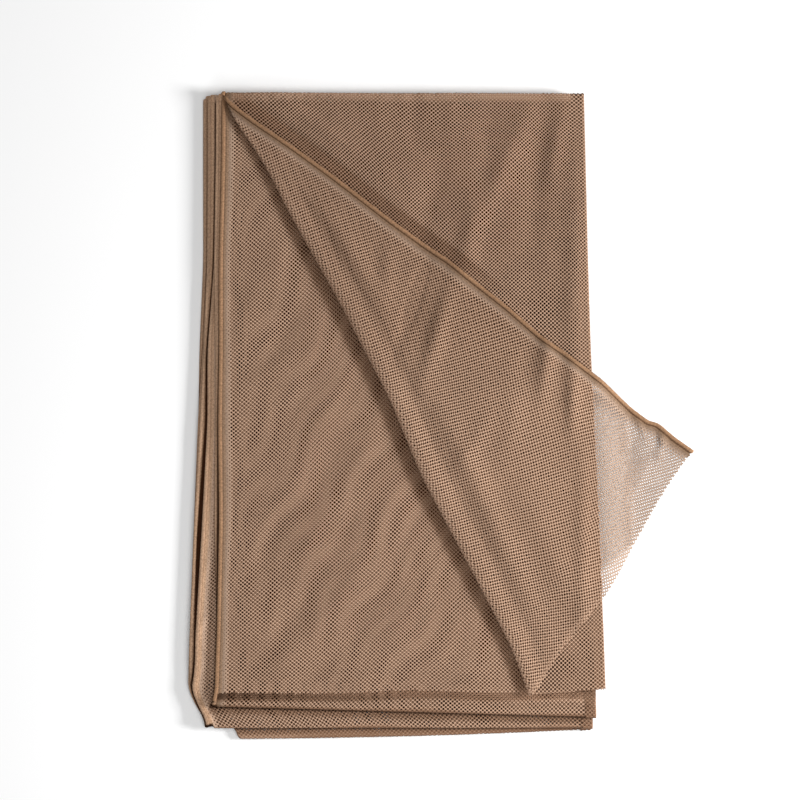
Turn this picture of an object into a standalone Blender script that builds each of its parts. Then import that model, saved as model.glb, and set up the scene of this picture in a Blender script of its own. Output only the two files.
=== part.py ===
"""A folded length of fine camouflage netting, as it lies on a flat surface.

One sheet of net is folded back and forth into eight layers. Its hem runs down the left
side of every layer. The near left corner of the top layer is turned back over to the right,
and hangs over the right side of the stack down to the surface.

The frame is in metres: +Z is up, +Y runs along the layers towards the side where the top
layer is joined to the next, and the origin is under the middle of the whole outline, on
the surface.
"""

import math

import bmesh
import bpy
from mathutils import Vector

# Cloth
CLOTH = 0.0010
HEM = 0.0018
HEM_WIDTH = 0.004
HEM_SHOULDER = 0.002
LAYERS = 8
PITCH = 0.0023

# Layers, as seen from above
LAYER_WIDTH = 0.372
JOINED_SIDE = 0.315
OPEN_SIDE = -0.315
CUT_END = -0.246

# The stack is a little higher in some places than in others, by this share of its height.
SWELL = 0.05
SWELL_WAVES = (
    # across, along, start, share
    (0.23, 0.31, 0.4, 0.6),
    (-0.19, 0.27, 1.9, 0.4),
)

# Left edge of each layer from the second down, at some distances along Y
LEFT_EDGES = (
    # y, layer 2, layer 3, layer 4, layer 5, layer 6, layer 7, layer 8
    (0.315, -0.2133, -0.2192, -0.2192, -0.2280, -0.2280, -0.2319, -0.2328),
    (0.248, -0.2139, -0.2192, -0.2192, -0.2280, -0.2280, -0.2319, -0.2328),
    (0.151, -0.2163, -0.2206, -0.2206, -0.2289, -0.2289, -0.2319, -0.2328),
    (0.063, -0.2163, -0.2202, -0.2280, -0.2319, -0.2332, -0.2358, -0.2367),
    (-0.005, -0.2163, -0.2202, -0.2280, -0.2358, -0.2377, -0.2367, -0.2377),
    (-0.103, -0.2163, -0.2211, -0.2332, -0.2387, -0.2406, -0.2401, -0.2416),
    (-0.220, -0.2192, -0.2216, -0.2392, -0.2426, -0.2449, -0.2431, -0.2449),
    (-0.278, -0.2211, -0.2221, -0.2358, -0.2375, -0.2475, -0.2475, -0.2469),
    (-0.305, -0.2220, -0.2220, -0.2280, -0.2280, -0.2475, -0.2475, -0.2469),
)

# Right edge of the top layer
RIGHT_EDGE = (
    # y, x
    (0.315, 0.1396),
    (0.151, 0.1435),
    (0.063, 0.1464),
    (-0.005, 0.1494),
    (-0.103, 0.1542),
    (-0.220, 0.1591),
    (-0.278, 0.1611),
)

# How far the right edge of each layer lies inside that of the top one
RIGHT_INSETS = (
    # layer, at the joined side, at the open side
    (2, 0.0000, 0.0095),
    (3, 0.0010, 0.0095),
    (4, 0.0010, 0.0125),
    (5, 0.0020, 0.0125),
    (6, 0.0015, 0.0135),
    (7, 0.0025, 0.0135),
    (8, 0.0020, 0.0140),
)

# Turns from one layer to the next. A radius of 0 is half the pitch.
TURNS = (
    # side, outermost y on the left, on the right, radius, corner set back, corner width
    (1, 0.3150, 0.3137, 0.0, 0.0, 0.01),
    (-1, -0.2888, -0.2888, 0.0024, 0.002, 0.01),
    (1, 0.3132, 0.3130, 0.0, 0.0, 0.01),
    (-1, -0.3054, -0.3050, 0.0022, 0.004, 0.02),
    (1, 0.3103, 0.3120, 0.0, 0.0, 0.01),
    (-1, -0.3171, -0.3093, 0.0, 0.046, 0.05),
    (1, 0.3103, 0.3125, 0.0, 0.0, 0.01),
)
LOOP_RISE = 0.013
LOOP_DIP = 0.0006
TURN_STEPS = 4
LOOP_STEPS = 6

# Turned-back corner: the visible line of its fold, and its hem
FOLD_LINE = (
    # x, y, radius of the roll
    (-0.2070, 0.3132, 0.0013),
    (-0.1851, 0.2620, 0.0022),
    (-0.1461, 0.1918, 0.0032),
    (-0.1158, 0.1275, 0.0034),
    (-0.0905, 0.0856, 0.0034),
    (-0.0470, 0.0070, 0.0036),
    (-0.0193, -0.0597, 0.0036),
    (0.0070, -0.1094, 0.0034),
    (0.0294, -0.1514, 0.0034),
    (0.0499, -0.1904, 0.0032),
    (0.0694, -0.2284, 0.0030),
    (0.0860, -0.2742, 0.0026),
)
FLAP_HEM = (
    # x, y
    (-0.2000, 0.3100),
    (-0.1373, 0.2562),
    (-0.0105, 0.1606),
    (0.0170, 0.1385),
    (0.1474, 0.0290),
    (0.1991, -0.0051),
    (0.2130, -0.0115),
    (0.2475, -0.0363),
)
FLAP_LIFT = 0.0021
SETTLE = 0.026
HEM_WAVE = 0.12
HEM_WAVE_HEIGHT = 0.0014
EDGE_CLEARANCE = 0.008
DROOP = 0.058
CUT_SLANT = 0.004
SLIT = 0.0016
HEM_START = 0.12 * math.pi

# Grids
HEM_COLUMNS = (0, 1)
SIDE_COLUMNS = (0.0, 0.035, 0.065, 0.11)
EVEN_COLUMNS = 9
LENGTH_ROWS = (0.11, 0.28, 0.43, 0.55, 0.71, 0.88)
LOOP_ROWS = (0.018, 0.013, 0.008, 0.004)
CORNER_ROWS = 22
CORNER_ROW_GROWTH = 1.15
ROLL_STEPS = 6
FLAP_COLUMNS = 13
JOIN = 0.00001

COLOUR = (0.245, 0.155, 0.098, 1.0)


def smooth(value):
    value = min(max(value, 0.0), 1.0)
    return value * value * (3.0 - 2.0 * value)


def along_table(table, position, column):
    """Reads a column of a table whose first column falls, by straight lines between its rows."""
    for above, below in zip(table, table[1:]):
        if position >= below[0] or below is table[-1]:
            share = (above[0] - position) / (above[0] - below[0])
            share = min(max(share, 0.0), 1.0)
            return above[column] + (below[column] - above[column]) * share


def along_path(table, share):
    """Reads all columns of a table at a share of its length, measured along its x and y."""
    lengths = [0.0]
    for start, end in zip(table, table[1:]):
        lengths.append(lengths[-1] + math.dist(start[:2], end[:2]))
    target = share * lengths[-1]
    for index in range(1, len(table)):
        if target <= lengths[index] or index == len(table) - 1:
            part = (target - lengths[index - 1]) / (lengths[index] - lengths[index - 1])
            return [a + (b - a) * part for a, b in zip(table[index - 1], table[index])]


def layer_height(layer, x, y):
    """Height of the middle of a layer's cloth."""
    swell = sum(
        share * math.sin(2.0 * math.pi * (x / across + y / along) + start)
        for across, along, start, share in SWELL_WAVES
    )
    return CLOTH / 2.0 + (LAYERS - layer) * PITCH * (1.0 + SWELL * swell)


def right_edge(layer, y):
    edge = along_table(RIGHT_EDGE, y, 1)
    if layer == 1:
        return edge
    _, inset_joined, inset_open = RIGHT_INSETS[layer - 2]
    down = smooth((JOINED_SIDE - y) / (JOINED_SIDE - OPEN_SIDE))
    return edge - inset_joined - (inset_open - inset_joined) * down


def turn_radius(turn, x, y):
    """Radius of the middle of the cloth in a turn, from the layers that it joins."""
    radius = TURNS[turn - 1][3]
    upper, lower = layer_height(turn, x, y), layer_height(turn + 1, x, y)
    return radius or (upper - lower) / 2.0


def turn_line(turn, across):
    """Y of the line around which a turn bends, at a share of the way across."""
    side, left, right, radius, set_back, width = TURNS[turn - 1]
    outermost = left + (right - left) * across - side * set_back * math.exp(-across / width)
    return outermost - side * ((radius or PITCH / 2.0) + CLOTH / 2.0)


def ends_in_loop(layer):
    """Whether a layer rises into a turn that is rounder than its pitch."""
    return layer < LAYERS and TURNS[layer - 1][3] > 0.0


def end_line(layer, across):
    """Y at which a layer ends: at its next turn, or at the cut end of the cloth."""
    return CUT_END if layer == LAYERS else turn_line(layer, across)


def column_shares():
    """Shares of the way across at which the grid has its columns, from the hem."""
    hem = (HEM_WIDTH / LAYER_WIDTH, (HEM_WIDTH + HEM_SHOULDER) / LAYER_WIDTH)
    even = [index / EVEN_COLUMNS for index in range(2, EVEN_COLUMNS + 1)]
    return [0.0, *hem, *SIDE_COLUMNS[1:], *even]


def layer_point(layer, across, down):
    """A point of a layer's middle, at shares of the way across and along it."""
    start = turn_line(layer - 1, across)
    end = end_line(layer, across)
    y = start + (end - start) * down
    edge_start, edge_end = turn_line(layer - 1, 0.0), end_line(layer, 0.0)
    edge_y = edge_start + (edge_end - edge_start) * down
    left = along_table(LEFT_EDGES, edge_y, layer - 1)
    x = left + (right_edge(layer, y) - left) * across
    z = layer_height(layer, x, y)
    if ends_in_loop(layer):
        to_loop = abs(end - y)
        extra = 2.0 * TURNS[layer - 1][3] - (z - layer_height(layer + 1, x, y))
        z += extra * smooth(1.0 - to_loop / LOOP_RISE)
        z -= LOOP_DIP * math.exp(-(((to_loop - 1.5 * LOOP_RISE) / (0.5 * LOOP_RISE)) ** 2))
    return Vector((x, y, z))


def turn_point(turn, across, angle):
    """A point of the turn from one layer to the next, from angle 0 above to pi below."""
    side = TURNS[turn - 1][0]
    y = turn_line(turn, across)
    edge_y = turn_line(turn, 0.0)
    upper_left = along_table(LEFT_EDGES, edge_y, max(turn, 2) - 1)
    lower_left = along_table(LEFT_EDGES, edge_y, turn)
    part = angle / math.pi
    left = upper_left + (lower_left - upper_left) * part
    right = right_edge(turn, y) + (right_edge(turn + 1, y) - right_edge(turn, y)) * part
    x = left + (right - left) * across
    radius = turn_radius(turn, x, y)
    z = layer_height(turn + 1, x, y) + radius * (1.0 + math.cos(angle))
    return Vector((x, y + side * radius * math.sin(angle), z))


def folded_rows():
    """The points of the cloth from the top of its first turn to its cut end, row by row."""
    columns = column_shares()
    rows = []
    for layer in range(2, LAYERS + 1):
        turn = layer - 1
        steps = LOOP_STEPS if ends_in_loop(turn) else TURN_STEPS
        for step in range(steps):
            angle = math.pi * step / steps
            rows.append([turn_point(turn, across, angle) for across in columns])
        shares = [0.0, *LENGTH_ROWS]
        if ends_in_loop(layer):
            length = abs(end_line(layer, 0.5) - turn_line(turn, 0.5))
            shares += [1.0 - distance / length for distance in LOOP_ROWS]
        if layer == LAYERS:
            shares.append(1.0)
        for down in shares:
            rows.append([layer_point(layer, across, down) for across in columns])
    for column in HEM_COLUMNS:
        rows[0][column] = turn_point(1, columns[column], HEM_START)
    return rows


def corner_shape(down):
    """Fold, roll radius and hem of the turned-back corner at a share of the way down."""
    x, y, radius = along_path(FOLD_LINE, down)
    ahead = along_path(FOLD_LINE, min(down + 0.05, 1.0))
    behind = along_path(FOLD_LINE, max(down - 0.05, 0.0))
    line = Vector((ahead[0] - behind[0], ahead[1] - behind[1])).normalized()
    inward = Vector((-line.y, line.x))
    fold = Vector((x, y)) + inward * (radius + CLOTH / 2.0)
    hem_x, hem_y = along_path(FLAP_HEM, down)
    return fold, inward, radius, Vector((hem_x, hem_y))


def flap_height(place, from_roll, down, radius, to_hem):
    """Height of the turned-back corner, on the stack and down its right side."""
    top = layer_height(1, min(place.x, right_edge(1, place.y)), place.y)
    settled = smooth(from_roll / SETTLE)
    lift = 2.0 * radius + (FLAP_LIFT - 2.0 * radius) * settled
    along_hem = down * math.dist(FLAP_HEM[0], FLAP_HEM[-1])
    wave = 0.5 - 0.5 * math.cos(2.0 * math.pi * along_hem / HEM_WAVE)
    lift += HEM_WAVE_HEIGHT * wave * settled * to_hem
    z = top + lift
    past_edge = place.x - right_edge(1, place.y) - EDGE_CLEARANCE
    return z + (HEM / 2.0 - z) * smooth(past_edge / DROOP)


def flat_row(down):
    """The part of a row of the top layer that lies flat, from the fold to the right edge."""
    fold = corner_shape(down)[0]
    columns = column_shares()[len(HEM_COLUMNS) :]
    row = []
    for across in columns:
        share = (across - columns[0]) / (columns[-1] - columns[0])
        y = fold.y + CUT_SLANT * down * share
        x = fold.x + (right_edge(1, y) - fold.x) * share
        row.append(Vector((x, y, layer_height(1, x, y))))
    return row


def corner_row(down, flat):
    """One row of the top layer, from the hem of its turned-back corner to its right edge."""
    _, inward, radius, hem = corner_shape(down)
    fold = flat[0].xy
    slit = Vector((0.0, SLIT if down == 0.0 else 0.0))
    roll = []
    for step in range(1, ROLL_STEPS + 1):
        angle = math.pi * step / ROLL_STEPS
        place = fold - inward * radius * math.sin(angle) - slit
        roll.append(Vector((*place, flat[0].z + radius * (1.0 - math.cos(angle)))))
    start = roll[-1].xy
    width = (hem - start).length
    inner = 1.0 - (HEM_WIDTH + HEM_SHOULDER) / width
    shares = [inner * step / FLAP_COLUMNS for step in range(1, FLAP_COLUMNS + 1)]
    shares += [1.0 - HEM_WIDTH / width, 1.0]
    flap = []
    for share in shares:
        place = start + (hem - start) * share
        flap.append(Vector((*place, flap_height(place, share * width, down, radius, share))))
    return [*reversed(flap), *reversed(roll), *flat]


def add_grid(mesh, rows, hem_group):
    """Adds a grid of faces moved to the rows' points, with its hem columns in a vertex group."""
    across, along = len(rows[0]) - 1, len(rows) - 1
    weights = mesh.verts.layers.deform.verify()
    made = bmesh.ops.create_grid(mesh, x_segments=across, y_segments=along, size=0.5)
    for vertex in made["verts"]:
        column = round((vertex.co.x + 0.5) * across)
        row = round((vertex.co.y + 0.5) * along)
        vertex.co = rows[row][column]
        vertex[weights][hem_group] = 1.0 if column in HEM_COLUMNS else 0.0


def clear_scene():
    for item in list(bpy.data.objects):
        bpy.data.objects.remove(item, do_unlink=True)


def net_material():
    material = bpy.data.materials.new("netting")
    material.use_nodes = True
    shader = material.node_tree.nodes["Principled BSDF"]
    shader.inputs["Base Color"].default_value = COLOUR
    shader.inputs["Roughness"].default_value = 0.8
    shader.inputs["Metallic"].default_value = 0.0
    return material


def cloth_object(collection):
    """The single surface of the cloth, with a Solidify that is thicker at the hem."""
    rows = folded_rows()
    corner = [corner_row(0.0, rows[0][len(HEM_COLUMNS) :])]
    for row in range(1, CORNER_ROWS + 1):
        down = (row / CORNER_ROWS) ** CORNER_ROW_GROWTH
        corner.append(corner_row(down, flat_row(down)))
    cloth = bpy.data.objects.new("cloth_surface", bpy.data.meshes.new("cloth_surface"))
    collection.objects.link(cloth)
    hem = cloth.vertex_groups.new(name="hem")
    surface = bmesh.new()
    add_grid(surface, rows, hem.index)
    add_grid(surface, corner, hem.index)
    bmesh.ops.remove_doubles(surface, verts=surface.verts, dist=JOIN)
    bmesh.ops.recalc_face_normals(surface, faces=surface.faces)
    surface.to_mesh(cloth.data)
    surface.free()
    solid = cloth.modifiers.new("thickness", "SOLIDIFY")
    solid.thickness = HEM
    solid.offset = 0.0
    solid.vertex_group = hem.name
    solid.thickness_vertex_group = CLOTH / HEM
    return cloth


def rest_on_floor(cloth, collection):
    """Turns the cloth into a plain mesh whose lowest side is flat on the surface."""
    bpy.context.view_layer.update()
    evaluated = cloth.evaluated_get(bpy.context.evaluated_depsgraph_get())
    shape = bpy.data.meshes.new_from_object(evaluated)
    shape.name = "netting"
    for vertex in shape.vertices:
        if vertex.co.z < CLOTH / 10.0:
            vertex.co.z = 0.0
    netting = bpy.data.objects.new("netting", shape)
    collection.objects.link(netting)
    bpy.data.objects.remove(cloth, do_unlink=True)
    netting.vertex_groups.clear()
    shape.materials.clear()
    shape.materials.append(net_material())
    shape.shade_smooth()
    return netting


def main():
    clear_scene()
    collection = bpy.data.collections.new("camouflage_netting")
    bpy.context.scene.collection.children.link(collection)
    rest_on_floor(cloth_object(collection), collection)


if __name__ == "__main__":
    main()
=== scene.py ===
"""Camouflage netting, folded back and forth with one corner turned back over the stack.

The cloth is one length of fine knitted net with a rolled hem and a solid band down one side.
Its shape is worked out from two lengths on the flat cloth: u runs across it from the hem, and
v runs along it, from the cut end of the top layer (below 0) through the first turn (0) to the
cut end of the lowest layer. The net is cut as real holes where it shows.
"""

import math

import bpy
import numpy as np
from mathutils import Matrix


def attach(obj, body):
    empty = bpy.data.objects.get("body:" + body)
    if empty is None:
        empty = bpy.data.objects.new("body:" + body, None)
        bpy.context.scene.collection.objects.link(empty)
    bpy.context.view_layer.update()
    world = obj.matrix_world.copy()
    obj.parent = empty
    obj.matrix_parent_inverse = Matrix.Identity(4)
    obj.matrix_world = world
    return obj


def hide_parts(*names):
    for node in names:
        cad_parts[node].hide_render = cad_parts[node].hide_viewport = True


bl_info = {
    "name": "Folded camouflage netting",
    "version": (1, 0, 0),
    "blender": (4, 5, 0),
    "location": "View3D > Sidebar > Netting",
    "description": "Makes a folded length of fine camouflage netting on a pale floor",
    "category": "Add Mesh",
}

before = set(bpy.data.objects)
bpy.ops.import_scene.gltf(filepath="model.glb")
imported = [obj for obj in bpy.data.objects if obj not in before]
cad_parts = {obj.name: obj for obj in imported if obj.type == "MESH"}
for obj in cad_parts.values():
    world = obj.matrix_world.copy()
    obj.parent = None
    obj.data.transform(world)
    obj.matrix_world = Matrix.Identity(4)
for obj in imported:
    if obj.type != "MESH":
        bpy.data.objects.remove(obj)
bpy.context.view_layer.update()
NODE = "netting"

# Layers: sizes of the folded stack, in metres
LAYERS = 8
PITCH = 0.0023
LAYER_WIDTH = 0.372
JOINED_SIDE = 0.315
OPEN_SIDE = -0.315
TOP_CUT_Y = -0.2752
SECOND_CUT_Y = -0.2725
CUT_END = -0.246
HALF_CLOTH = 0.0005
TINY = 1e-6
TUCK_RADIUS = 0.0005
TUCK = 0.012

# The stack is a little higher in some places than in others, by this share of its height.
SWELL = 0.05
SWELL_WAVES = (
    # across, along, start, share
    (0.23, 0.31, 0.4, 0.6),
    (-0.19, 0.27, 1.9, 0.4),
)

# Left edge of each layer from the second down, at some distances along Y
LEFT_EDGES = (
    # y, layer 2, layer 3, layer 4, layer 5, layer 6, layer 7, layer 8
    (0.315, -0.2133, -0.2196, -0.2196, -0.2280, -0.2280, -0.2326, -0.2332),
    (0.248, -0.2139, -0.2198, -0.2198, -0.2280, -0.2280, -0.2326, -0.2332),
    (0.151, -0.2163, -0.2214, -0.2214, -0.2286, -0.2286, -0.2322, -0.2330),
    (0.063, -0.2163, -0.2202, -0.2280, -0.2319, -0.2332, -0.2358, -0.2367),
    (-0.005, -0.2172, -0.2202, -0.2280, -0.2358, -0.2377, -0.2367, -0.2377),
    (-0.103, -0.2163, -0.2211, -0.2332, -0.2412, -0.2416, -0.2408, -0.2418),
    (-0.220, -0.2187, -0.2180, -0.2400, -0.2460, -0.2462, -0.2456, -0.2464),
    (-0.248, -0.2200, -0.2195, -0.2402, -0.2466, -0.2470, -0.2466, -0.2470),
    (-0.276, -0.2206, -0.2210, -0.2450, -0.2440, -0.2475, -0.2475, -0.2469),
    (-0.290, -0.2262, -0.2262, -0.2310, -0.2315, -0.2340, -0.2345, -0.2360),
    (-0.305, -0.2270, -0.2270, -0.2280, -0.2280, -0.2300, -0.2300, -0.2400),
)

# Tables are read at these shares of a short length and averaged, which rounds their corners.
SPREAD = (-1.0, -0.5, 0.0, 0.5, 1.0)
TABLE_ROUNDING = 0.012

# Right edge of the top layer
RIGHT_EDGE = (
    # y, x
    (0.315, 0.1396),
    (0.151, 0.1435),
    (0.063, 0.1464),
    (-0.005, 0.1494),
    (-0.103, 0.1542),
    (-0.220, 0.1591),
    (-0.278, 0.1611),
)

# How far the right edge of each layer lies inside that of the top one
RIGHT_INSETS = (
    # layer, at the joined side, at the open side
    (1, 0.0000, 0.0000),
    (2, 0.0000, 0.0095),
    (3, 0.0010, 0.0095),
    (4, 0.0010, 0.0125),
    (5, 0.0020, 0.0125),
    (6, 0.0015, 0.0135),
    (7, 0.0025, 0.0135),
    (8, 0.0020, 0.0140),
)

# Turns from one layer to the next. A radius of 0 is half the pitch.
TURNS = (
    # side, outermost y on the left, on the right, radius, corner set back, corner width
    (1, 0.3150, 0.3137, 0.0, 0.0, 0.01),
    (-1, -0.2853, -0.2957, 0.0024, 0.002, 0.01),
    (1, 0.3142, 0.3130, 0.0, 0.003, 0.007),
    (-1, -0.3071, -0.3067, 0.0022, 0.004, 0.02),
    (1, 0.3137, 0.3120, 0.0, 0.003, 0.007),
    (-1, -0.3183, -0.3088, 0.0, 0.012, 0.083),
    (1, 0.3132, 0.3125, 0.0, 0.004, 0.007),
)
# This turn bows outwards, and its corner steps back at these shares of the corner's width.
BOWED_TURN = 6
CORNER_STEP = (0.85, 0.27)
# A layer rises to a round turn over this length, after a slight dip.
LOOP_RISE = 0.013
LOOP_DIP = 0.0006

# Turned-back corner: the visible line of its fold, and its hem
FOLD_LINE = (
    # x, y, radius of the roll
    (-0.2133, 0.3137, 0.0002),
    (-0.2016, 0.2874, 0.0011),
    (-0.1811, 0.2581, 0.0016),
    (-0.1665, 0.2338, 0.0020),
    (-0.1470, 0.1948, 0.0025),
    (-0.1002, 0.1119, 0.0034),
    (-0.0749, 0.0631, 0.0035),
    (-0.0495, 0.0144, 0.0036),
    (-0.0193, -0.0597, 0.0036),
    (0.0070, -0.1094, 0.0034),
    (0.0294, -0.1514, 0.0034),
    (0.0499, -0.1904, 0.0032),
    (0.0694, -0.2284, 0.0030),
    (0.0860, -0.2742, 0.0026),
)
FLAP_HEM = (
    # x, y
    (-0.2133, 0.3137),
    (-0.2006, 0.3014),
    (-0.1811, 0.2868),
    (-0.1426, 0.2607),
    (-0.1052, 0.2336),
    (-0.0490, 0.1905),
    (-0.0112, 0.1636),
    (0.0086, 0.1505),
    (0.0268, 0.1355),
    (0.0635, 0.1070),
    (0.0990, 0.0760),
    (0.1187, 0.0628),
    (0.1591, 0.0329),
    (0.1884, 0.0056),
    (0.2059, -0.0071),
    (0.2118, -0.0071),
    (0.2176, -0.0115),
    (0.2293, -0.0217),
    (0.2488, -0.0353),
)
# Roundings, and the reach over which the fold's direction is read, as shares of its length
HEM_ROUNDING = 0.006
FOLD_ROUNDING = 0.02
FOLD_REACH = 0.02
# The corner comes down from its roll over this length, to this height above the stack.
SETTLE = 0.021
FLAP_LIFT = 0.0021
LEAST_LIFT = 0.0012
HEM_WAVE = 0.12
HEM_WAVE_HEIGHT = 0.0014
# Past the stack's right edge it droops to the floor, and its tip lies almost flat.
EDGE_CLEARANCE = 0.003
DROOP = 0.036
TIP_LIFT = 0.0011
TIP_FADE = 1.6
HEM_WEIGHT = 0.8
FLOOR_GAP = 0.0004
# Its cut end slants, and bulges at this share of the way to the hem, over this share.
CUT_SLANT = 0.004
CUT_BULGE = 0.0045
BULGE_SHAPE = (0.43, 0.22)

# The roll of the fold is flatter than a circle: wider than high, by this factor.
ROLL_FLATNESS = 2.0
ROLL_ANGLES = np.linspace(0.0, math.pi, 49)
ROLL_STEPS = np.hypot(
    ROLL_FLATNESS * np.diff(np.sin(ROLL_ANGLES)), np.diff(np.cos(ROLL_ANGLES))
)
ROLL_LENGTHS = np.concatenate([[0.0], np.cumsum(ROLL_STEPS)])

# Creases of the stack: soft ridges and troughs, which fade downwards by this power
RELIEF_FADE = 1.5
STACK_CREASES = (
    # x, y, direction in degrees, length, width, height
    (-0.160, 0.150, 80.0, 0.060, 0.010, 0.0015),
    (-0.185, 0.105, 70.0, 0.050, 0.010, 0.0015),
    (-0.150, 0.085, 55.0, 0.060, 0.009, -0.0019),
    (-0.165, 0.045, 35.0, 0.070, 0.009, 0.0019),
    (-0.120, 0.065, 40.0, 0.050, 0.008, 0.0011),
    (-0.135, 0.020, 55.0, 0.080, 0.009, -0.0011),
    (-0.105, 0.015, 62.0, 0.090, 0.008, 0.0013),
    (-0.110, -0.050, 62.0, 0.090, 0.010, -0.0015),
    (-0.150, -0.075, 60.0, 0.080, 0.010, 0.0015),
    (-0.075, -0.035, 62.0, 0.090, 0.009, 0.0015),
    (-0.165, -0.120, 65.0, 0.080, 0.010, -0.0019),
    (-0.120, -0.110, 58.0, 0.090, 0.008, 0.0013),
    (-0.090, -0.110, 60.0, 0.100, 0.008, -0.0011),
    (-0.062, -0.110, 62.0, 0.100, 0.008, 0.0013),
    (-0.035, -0.120, 62.0, 0.090, 0.008, -0.0011),
    (-0.100, -0.180, 52.0, 0.090, 0.009, 0.0015),
    (-0.140, -0.190, 55.0, 0.070, 0.010, -0.0019),
    (-0.070, -0.190, 55.0, 0.080, 0.009, -0.0009),
    (-0.030, -0.190, 55.0, 0.090, 0.009, 0.0013),
    (0.005, -0.200, 58.0, 0.080, 0.009, -0.0009),
    (-0.150, -0.240, 48.0, 0.060, 0.010, 0.0013),
    (-0.110, -0.240, 40.0, 0.070, 0.010, -0.0015),
    (-0.060, -0.245, 42.0, 0.070, 0.010, 0.0011),
    (0.030, -0.240, 62.0, 0.060, 0.011, 0.0013),
    (-0.060, 0.285, 92.0, 0.060, 0.007, 0.0008),
    (-0.025, 0.290, 90.0, 0.060, 0.007, -0.0008),
    (0.010, 0.285, 88.0, 0.070, 0.007, 0.0009),
    (0.045, 0.270, 84.0, 0.080, 0.008, -0.0009),
    (0.058, 0.235, 66.0, 0.160, 0.011, 0.0025),
    (0.028, 0.180, 84.0, 0.100, 0.011, 0.0026),
    (-0.010, 0.205, 76.0, 0.110, 0.014, -0.0028),
    (0.092, 0.215, 86.0, 0.150, 0.012, -0.0021),
    (0.112, 0.265, 80.0, 0.080, 0.009, 0.0024),
    (0.130, 0.130, 89.0, 0.200, 0.011, 0.0026),
    (-0.229, -0.150, 72.0, 0.030, 0.0035, 0.0018),
    (-0.226, -0.182, 105.0, 0.024, 0.003, -0.0018),
    (-0.233, -0.205, 60.0, 0.030, 0.0035, 0.0022),
    (-0.227, -0.236, 115.0, 0.024, 0.003, 0.0019),
    (-0.235, -0.262, 70.0, 0.026, 0.004, -0.0019),
    (-0.230, 0.110, 80.0, 0.050, 0.003, 0.0013),
    (-0.232, -0.040, 96.0, 0.050, 0.003, 0.0013),
    (-0.137, 0.271, -36.0, 0.190, 0.0045, -0.0026),
    (-0.122, 0.284, -36.0, 0.190, 0.0060, 0.0014),
)

# Creases of the turned-back corner
CORNER_CREASES = (
    # x, y, direction in degrees, length, width, height
    (-0.050, 0.088, -63.0, 0.220, 0.012, 0.0024),
    (-0.028, 0.107, 71.0, 0.080, 0.007, -0.0032),
    (-0.004, 0.078, 75.0, 0.090, 0.009, 0.0046),
    (-0.052, 0.141, 90.0, 0.050, 0.008, 0.0026),
    (-0.090, 0.160, -58.0, 0.100, 0.010, 0.0034),
    (-0.123, 0.205, -45.0, 0.050, 0.009, 0.0018),
    (0.045, -0.091, -66.0, 0.230, 0.012, 0.0040),
    (0.033, -0.025, 60.0, 0.060, 0.010, 0.0022),
    (0.110, -0.140, -66.0, 0.120, 0.014, 0.0020),
    (0.138, -0.146, 90.0, 0.280, 0.008, 0.0020),
    (0.082, 0.048, 80.0, 0.050, 0.010, -0.0015),
    (0.102, 0.048, 84.0, 0.070, 0.008, 0.0036),
    (0.128, 0.014, 90.0, 0.070, 0.007, 0.0034),
    (0.070, 0.000, 80.0, 0.080, 0.012, 0.0016),
    (0.197, -0.012, -70.0, 0.030, 0.004, 0.0013),
    (0.208, -0.022, -60.0, 0.030, 0.004, -0.0018),
    (0.216, -0.030, 80.0, 0.030, 0.005, 0.0022),
    (0.190, -0.060, 60.0, 0.060, 0.010, 0.0016),
)

# Net: six-sided holes in staggered rows
HOLES_ACROSS = 0.0041
HOLES_ALONG = 0.00365
HOLE_RADIUS = 0.0011
SIDES = 6
HOLE_CORNERS = tuple(math.radians(360.0 / SIDES * corner) for corner in range(SIDES))
# Their sizes differ by this share. The large numbers scatter it from hole to hole.
UNEVENNESS = 0.09
SCATTER = (12.9898, 78.233, 43758.5453)
# Smaller holes than this share are filled, by a patch of the other share.
SMALLEST_HOLE = 0.22
PATCH = 0.6
# The rows are out of square with the hem, and less so at the right.
SKEW = 0.128
SKEW_EASED = 0.03
EASED_FROM = 0.17
EASED_TO = 0.25
# Solid band beside the hem, and the width over which the holes grow
BAND = 0.0062
BAND_FADE = 0.0080
FIRST_YARN = 0.0008
# Holes shrink at the tucked edge, along each turn, and on the far part of the corner.
SELVEDGE_STEP = (0.0005, 0.0015)
EDGE_REACH = 0.0016
APEX_REACH = (0.0020, 0.0028, 0.0028, 0.0028, 0.0028, 0.0070, 0.0028)
CORNER_SHRINK = 0.10
SHRINK_ALONG = (0.38, 0.06)
SHRINK_ACROSS = (0.20, 0.04)
DRIFT_FADE = 0.02
DRIFTS = (
    # across, along, start, size, direction in degrees
    (0.21, 0.31, 0.3, 0.0018, 20.0),
    (-0.17, 0.16, 1.7, 0.0009, 100.0),
    (0.11, -0.13, 2.9, 0.0003, 60.0),
)

# Hem: a flattened roll, its thickness, width and section
HEM = 0.0018
HEM_WIDTH = 0.0036
HEM_SECTION = (
    # across, height, as shares of the width and the half thickness
    (0.00, 0.00),
    (0.06, 0.55),
    (0.20, 0.90),
    (0.45, 1.00),
    (0.72, 0.92),
    (0.90, 0.60),
    (1.00, 0.15),
    (1.00, -0.25),
    (0.85, -0.70),
    (0.50, -0.90),
    (0.20, -0.75),
    (0.05, -0.45),
)
# Rows of corners along it: their step, where they lie at a turn, and the least step
HEM_STEP = 0.005
HEM_TURN_ROWS = np.linspace(-0.5, 1.5, 13)
HEM_LEAST_STEP = 0.0003

# Charts for baking
CHART_MARGIN = 0.01
CHART_SIZE = 0.98
CHART_STEP = 0.0009
CHART_WIDTH = 0.014
CHART_LENGTH = 0.6
END_CHART = (0.004, 0.001)
END_CHART_PLACE = (0.01, 0.0)

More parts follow.
